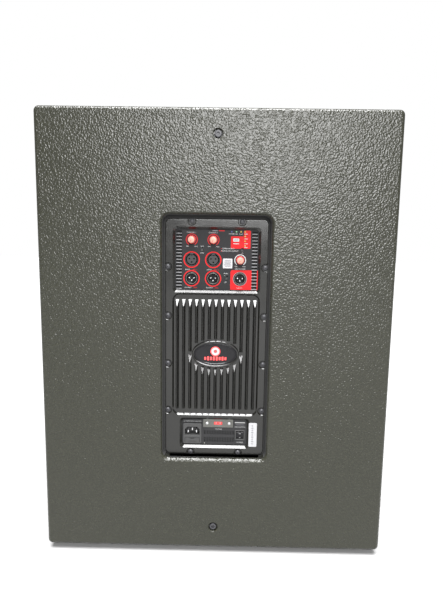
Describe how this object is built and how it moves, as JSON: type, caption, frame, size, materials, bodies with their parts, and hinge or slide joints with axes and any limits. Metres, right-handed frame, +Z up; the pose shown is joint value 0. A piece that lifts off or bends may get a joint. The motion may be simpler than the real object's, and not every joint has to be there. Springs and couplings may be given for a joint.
{
  "type": "powered stage subwoofer",
  "caption": "Powered subwoofer: wooden cabinet with a large driver behind a grille, side handles, and a recessed plate amplifier with sockets, knobs and cooling fins in the back.",
  "frame": {"origin": "centre of the bounding box on the ground, under the middle of the cabinet", "axes": "+Z up; -Y out of the grille; +Y out of the amplifier side; +X towards the right side handle as seen from the grille"},
  "size_m": [0.565, 0.66, 0.7278],
  "materials": {
    "cabinet_paint": "textured black paint over plywood",
    "black_plastic": "moulded, satin",
    "rubber": "matt",
    "black_steel": "powder coated",
    "bright_steel": "bright",
    "zinc_plate": "zinc plated",
    "cast_alloy": "cast and painted dark grey",
    "panel_print": "dark sheet with printed scales",
    "red_plastic": "moulded red",
    "paper_cone": "treated paper",
    "ferrite": "sintered",
    "foam": "open-cell foam or treated cloth",
    "circuit_board": "green laminate",
    "copper_coil": "enamelled copper wire"
  },
  "bodies": {
    "cabinet": {"top_panel": "cabinet_paint", "bottom_panel": "cabinet_paint", "left_side_panel": "cabinet_paint", "right_side_panel": "cabinet_paint", "back_panel": "cabinet_paint", "front_baffle": "cabinet_paint", "port_shelf": "cabinet_paint", "cross_brace": "cabinet_paint", "amp_mount_frame": "cabinet_paint", "left_handle_cup": "black_plastic", "right_handle_cup": "black_plastic", "pole_socket": "black_plastic", "badge": "black_plastic", "xlr_input_1": "black_plastic", "xlr_input_2": "black_plastic", "mains_inlet": "black_plastic", "rocker_bezel": "black_plastic", "fan_frame": "black_plastic", "left_handle_bar": "rubber", "right_handle_bar": "rubber", "foot_front_left": "rubber", "foot_front_right": "rubber", "foot_back_left": "rubber", "foot_back_right": "rubber", "surround": "rubber", "back_bolt_upper": "black_steel", "back_bolt_lower": "black_steel", "grille": "black_steel", "motor_top_plate": "black_steel", "motor_back_plate": "black_steel", "amp_rear_cover": "black_steel", "xlr_output_1": "zinc_plate", "xlr_output_2": "zinc_plate", "xlr_output_3": "zinc_plate", "voltage_selector_plate": "zinc_plate", "amp_faceplate": "cast_alloy", "driver_basket": "cast_alloy", "control_panel": "panel_print", "power_panel": "panel_print", "motor_magnet": "ferrite", "grille_foam": "foam", "spider": "foam", "input_board": "circuit_board", "amplifier_board": "circuit_board", "power_transformer": "copper_coil"},
    "gain_knob_1": {"gain_knob_1": "red_plastic"},
    "gain_knob_2": {"gain_knob_2": "red_plastic"},
    "crossover_knob": {"crossover_knob": "red_plastic"},
    "slide_switch_1": {"slide_switch_1": "bright_steel"},
    "slide_switch_2": {"slide_switch_2": "bright_steel"},
    "slide_switch_3": {"slide_switch_3": "bright_steel"},
    "power_rocker": {"power_rocker": "black_plastic"},
    "fuse_drawer": {"fuse_drawer": "black_plastic"},
    "voltage_selector_slider": {"voltage_selector_slider": "red_plastic"},
    "xlr_release_1": {"xlr_release_1": "black_steel"},
    "xlr_release_2": {"xlr_release_2": "black_steel"},
    "fan_rotor": {"fan_rotor": "black_plastic"},
    "cone_assembly": {"driver_cone": "paper_cone", "dust_cap": "paper_cone", "voice_coil": "copper_coil"}
  },
  "joints": [
    {"name": "gain_knob_1_turn", "type": "hinge", "parent": "cabinet", "child": "gain_knob_1", "pos_m": [0.0402, 0.3102, 0.527], "axis": [0, -1, 0], "range_deg": [0, 300]},
    {"name": "gain_knob_2_turn", "type": "hinge", "parent": "cabinet", "child": "gain_knob_2", "pos_m": [0.0056, 0.3102, 0.527], "axis": [0, -1, 0], "range_deg": [0, 300]},
    {"name": "crossover_knob_turn", "type": "hinge", "parent": "cabinet", "child": "crossover_knob", "pos_m": [-0.0376, 0.3102, 0.4952], "axis": [0, -1, 0], "range_deg": [0, 300]},
    {"name": "slide_switch_1_slide", "type": "slide", "parent": "cabinet", "child": "slide_switch_1", "axis": [0, 0, 1], "range_m": [0, 0.003]},
    {"name": "slide_switch_2_slide", "type": "slide", "parent": "cabinet", "child": "slide_switch_2", "axis": [0, 0, 1], "range_m": [0, 0.003]},
    {"name": "slide_switch_3_slide", "type": "slide", "parent": "cabinet", "child": "slide_switch_3", "axis": [0, 0, 1], "range_m": [0, 0.003]},
    {"name": "power_rocker_tilt", "type": "hinge", "parent": "cabinet", "child": "power_rocker", "pos_m": [-0.0427, 0.3079, 0.202], "axis": [1, 0, 0], "range_deg": [0, 16]},
    {"name": "fuse_drawer_slide", "type": "slide", "parent": "cabinet", "child": "fuse_drawer", "axis": [0, 1, 0], "range_m": [0, 0.022]},
    {"name": "voltage_selector_slide", "type": "slide", "parent": "cabinet", "child": "voltage_selector_slider", "axis": [1, 0, 0], "range_m": [0, 0.005]},
    {"name": "xlr_release_1_press", "type": "slide", "parent": "cabinet", "child": "xlr_release_1", "axis": [0, -1, 0], "range_m": [0, 0.0012], "stiffness_N_per_m": 1200},
    {"name": "xlr_release_2_press", "type": "slide", "parent": "cabinet", "child": "xlr_release_2", "axis": [0, -1, 0], "range_m": [0, 0.0012], "stiffness_N_per_m": 1200},
    {"name": "fan_spin", "type": "hinge", "parent": "cabinet", "child": "fan_rotor", "pos_m": [0, 0.198, 0.475], "axis": [0, 1, 0], "continuous": true},
    {"name": "cone_travel", "type": "slide", "parent": "cabinet", "child": "cone_assembly", "axis": [0, -1, 0], "range_m": [-0.008, 0.008], "stiffness_N_per_m": 8000, "deforming": ["surround", "spider"]}
  ]
}
